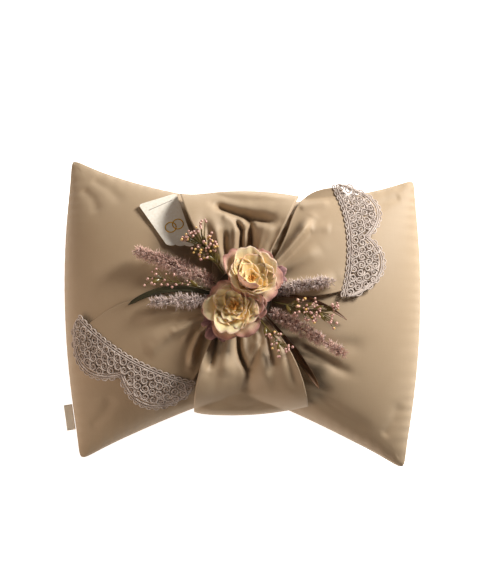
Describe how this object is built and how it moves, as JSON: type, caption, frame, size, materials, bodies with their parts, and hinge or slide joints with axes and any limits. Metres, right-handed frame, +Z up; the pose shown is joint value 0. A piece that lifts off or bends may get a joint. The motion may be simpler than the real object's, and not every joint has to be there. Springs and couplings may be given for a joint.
{
  "type": "ring bearer pillow",
  "caption": "Stuffed satin pillow gathered at the waist by a bow with lace-ended tails, under a spray of silk flowers, plumes and berries, with a hang tag.",
  "frame": {"origin": "on the floor under the middle of the pillow, which lies on its back", "axes": "+Z up out of the pillow's front, +X along its long side, +Y towards the edge that the hang tag is near"},
  "size_m": [0.3988, 0.344, 0.1398],
  "materials": {
    "satin": "satin weave",
    "wadding": "fibre",
    "label_tape": "woven tape",
    "guipure": "corded lace",
    "felt": "felt",
    "calyx_green": "matt moulded",
    "petal_blush": "heat-set silk",
    "petal_cream": "heat-set silk",
    "stamen_gold": "matt",
    "floret_mauve": "heat-set silk",
    "plume_pink": "flocked",
    "plume_lilac": "flocked",
    "berries": "semi gloss",
    "leaf_green": "heat-set cloth",
    "leaf_brown": "heat-set cloth",
    "ivory_card": "coated card",
    "pin_brass": "polished"
  },
  "bodies": {
    "pillow": {"pillow_front_panel": "satin", "pillow_back_panel": "satin", "pillow_insert": "wadding", "waist_band": "satin", "bow_knot": "satin", "bow_loop_top": "satin", "bow_loop_bottom": "satin", "bow_tail_left": "satin", "bow_tail_right": "satin", "lace_left": "guipure", "lace_right": "guipure", "spray_base": "felt", "flower_a_calyx": "calyx_green", "flower_a_outer_petals": "petal_blush", "flower_a_middle_petals": "petal_cream", "flower_a_inner_petals": "petal_cream", "flower_a_stamens": "stamen_gold", "flower_b_calyx": "calyx_green", "flower_b_outer_petals": "petal_blush", "flower_b_middle_petals": "petal_cream", "flower_b_inner_petals": "petal_cream", "flower_b_stamens": "stamen_gold", "floret_lower": "floret_mauve", "floret_upper": "floret_mauve", "plume_left_upper": "plume_pink", "plume_left_lower": "plume_lilac", "plume_right": "plume_lilac", "plume_lower_right": "plume_pink", "berry_sprig_upper": "berries", "berry_sprig_left": "berries", "berry_sprig_right": "berries", "berry_sprig_lower": "berries", "strap_leaf_left": "leaf_green", "strap_leaf_right": "leaf_brown", "strap_leaf_long": "leaf_brown", "tag_pin": "pin_brass"},
    "tag": {"hang_tag": "ivory_card"},
    "label": {"side_label": "label_tape"}
  },
  "joints": [
    {"name": "tag_swivel", "type": "hinge", "parent": "pillow", "child": "tag", "pos_m": [-0.0613, 0.072, 0.10145], "axis": [0.0089, 0.3026, 0.9531], "range_deg": [0, 25]},
    {"name": "label_fold", "type": "hinge", "parent": "pillow", "child": "label", "pos_m": [-0.18447, -0.11691, 0.05], "axis": [-0.1641, 0.9864, 0], "range_deg": [-60, 60], "stiffness_Nm_per_rad": 0.0001}
  ]
}
